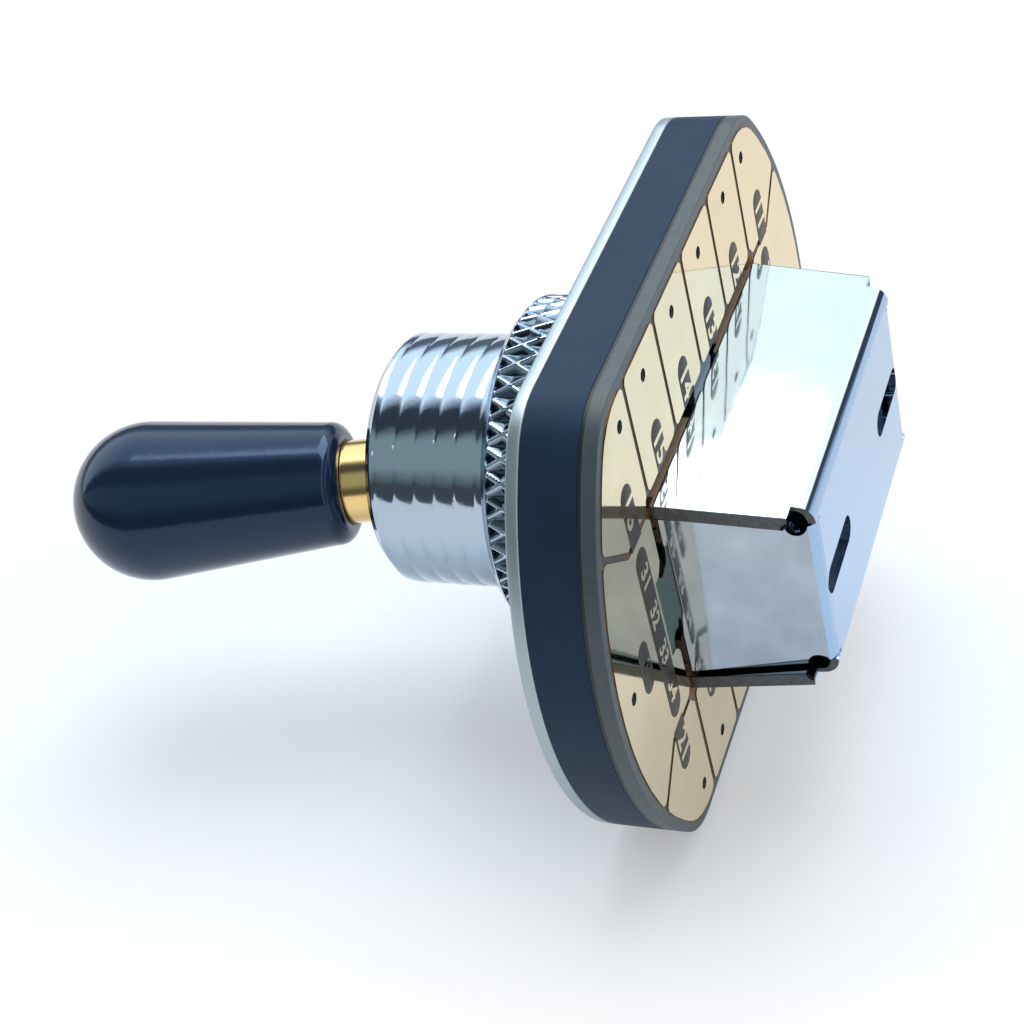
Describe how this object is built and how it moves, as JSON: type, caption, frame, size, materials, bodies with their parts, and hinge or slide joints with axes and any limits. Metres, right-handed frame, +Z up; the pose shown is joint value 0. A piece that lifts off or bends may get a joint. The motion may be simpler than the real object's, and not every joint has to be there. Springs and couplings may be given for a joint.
{
  "type": "guitar pickup selector switch",
  "caption": "Six-way lever switch on a threaded bush: flat metal plate, black body, circuit board with solder pads, folded metal can and a black tip.",
  "frame": {"origin": "On the bush axis, at the front face of the plate, which is the face that seats against a panel", "axes": "X along the plate and the three throws, Y along the bush axis from the lever (-Y) to the can (+Y), Z up across the plate's short side"},
  "size_m": [0.0326, 0.0379, 0.0242],
  "materials": {
    "plate": "satin, rolled sheet",
    "moulding": "matt black moulding",
    "bright_plating": "bright plated, turned and knurled",
    "steel": "plain ground steel",
    "laminate": "glass and resin laminate, satin",
    "pads": "thin plated copper, pale gold",
    "can_sheet": "bright plated sheet, nearly mirror-like",
    "contacts": "gold-plated spring alloy",
    "lever_brass": "turned brass, bright",
    "knob_plastic": "moulded near-black plastic, satin sheen"
  },
  "bodies": {
    "housing": {"front_plate": "plate", "body_moulding": "moulding", "bush": "bright_plating", "bank_pins": "steel", "circuit_board": "laminate", "copper_pads": "pads", "can": "can_sheet", "detent_holder": "moulding", "detent_track": "steel", "fixed_contacts": "contacts"},
    "gimbal": {"gimbal_ring": "lever_brass", "throw_pin": "steel"},
    "stick": {"lever": "lever_brass", "knob": "knob_plastic", "contact_carrier": "moulding", "carrier_clip": "steel", "wiper_contacts": "contacts", "detent_spring": "steel"},
    "plunger": {"detent_plunger": "steel"},
    "nut": {"knurled_nut": "bright_plating"}
  },
  "joints": [
    {"name": "lever_bank", "type": "hinge", "parent": "housing", "child": "gimbal", "pos_m": [0, -0.00434, 0], "axis": [1, 0, 0], "range_deg": [0, 3]},
    {"name": "lever_throw", "type": "hinge", "parent": "gimbal", "child": "stick", "pos_m": [0, -0.00434, 0], "axis": [0, 0.0262, 0.9997], "range_deg": [-27, 0]},
    {"name": "plunger_slide", "type": "slide", "parent": "stick", "child": "plunger", "axis": [0.2334, -0.972, 0.0255], "range_m": [0, 0.0004], "stiffness_N_per_m": 300, "springref_m": -0.002, "deforming": ["detent_spring"]},
    {"name": "nut_travel", "type": "slide", "parent": "housing", "child": "nut", "axis": [0, 1, 0], "range_m": [-0.0066, 0.0015]}
  ]
}
